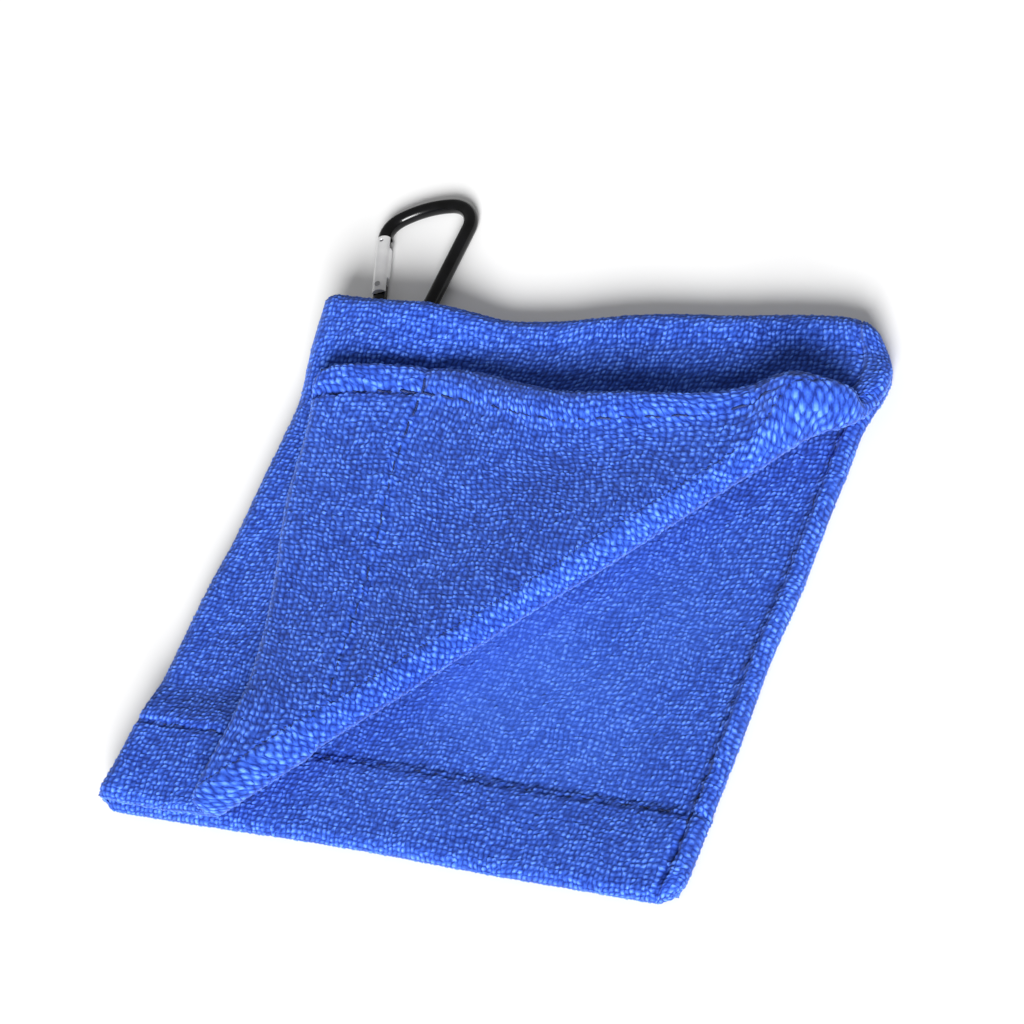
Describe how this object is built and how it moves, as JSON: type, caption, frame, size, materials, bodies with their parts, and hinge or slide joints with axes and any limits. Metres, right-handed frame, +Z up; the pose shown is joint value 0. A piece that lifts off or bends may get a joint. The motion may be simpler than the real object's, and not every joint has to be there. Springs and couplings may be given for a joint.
{
  "type": "pocket golf towel",
  "caption": "Square double-panel terry pouch towel with one corner of the front turned back, and a D-shaped clip on a corner loop.",
  "frame": {"origin": "centre of the bounding box's base, on the face the towel lies on", "axes": "+X along the wide hem away from the joined side, +Y towards the clip, +Z up out of the towel"},
  "size_m": [0.1438, 0.1778, 0.0176],
  "materials": {
    "terry_outer": "deep pile microfibre terry, matte",
    "terry_inner": "deep pile microfibre terry, matte",
    "film": "thin translucent waterproof film",
    "thread": "polyester thread",
    "webbing": "black woven webbing",
    "black_anodised": "gloss black anodised",
    "silver_gate": "satin silver anodised",
    "spring_steel": "plain spring steel"
  },
  "bodies": {
    "pouch": {"back_outer_terry": "terry_outer", "back_film": "film", "back_inner_terry": "terry_inner", "front_inner_terry": "terry_inner", "front_film": "film", "front_outer_terry": "terry_outer", "front_fold": "terry_outer", "back_wide_hem": "terry_inner", "back_side_hem": "terry_inner", "front_wide_hem": "terry_inner", "seam_top": "terry_outer", "seam_left": "terry_outer", "stitches_back_wide": "thread", "stitches_back_side": "thread", "stitches_front_wide": "thread", "loop_tails": "webbing", "stitches_loop": "thread"},
    "flap": {"flap_outer_terry": "terry_outer", "flap_film": "film", "flap_inner_terry": "terry_inner", "flap_wide_hem": "terry_inner", "flap_side_hem": "terry_inner", "stitches_flap_wide": "thread", "stitches_flap_side": "thread"},
    "loop": {"loop_eye": "webbing"},
    "clip": {"clip_body": "black_anodised"},
    "gate": {"clip_gate": "silver_gate", "gate_rivet": "silver_gate", "catch_pin": "silver_gate", "gate_plunger": "spring_steel", "gate_spring": "spring_steel"}
  },
  "joints": [
    {"name": "flap_fold", "type": "hinge", "parent": "pouch", "child": "flap", "pos_m": [-0.04611, -0.08802, 0.0106], "axis": [0.6693, 0.743, 0], "range_deg": [0, 165], "deforming": ["front_fold"]},
    {"name": "loop_bend", "type": "hinge", "parent": "pouch", "child": "loop", "pos_m": [-0.05531, 0.04208, 0.00515], "axis": [1, 0, 0], "range_deg": [-90, 0]},
    {"name": "clip_swing", "type": "hinge", "parent": "loop", "child": "clip", "pos_m": [-0.05531, 0.05708, 0.00265], "axis": [0, 0.0297, 0.9996], "range_deg": [-45, 45]},
    {"name": "gate_hinge", "type": "hinge", "parent": "clip", "child": "gate", "pos_m": [-0.06394, 0.06012, 0.00256], "axis": [0, -0.0297, -0.9996], "range_deg": [0, 35], "stiffness_Nm_per_rad": 0.01, "springref_deg": -28.65}
  ]
}
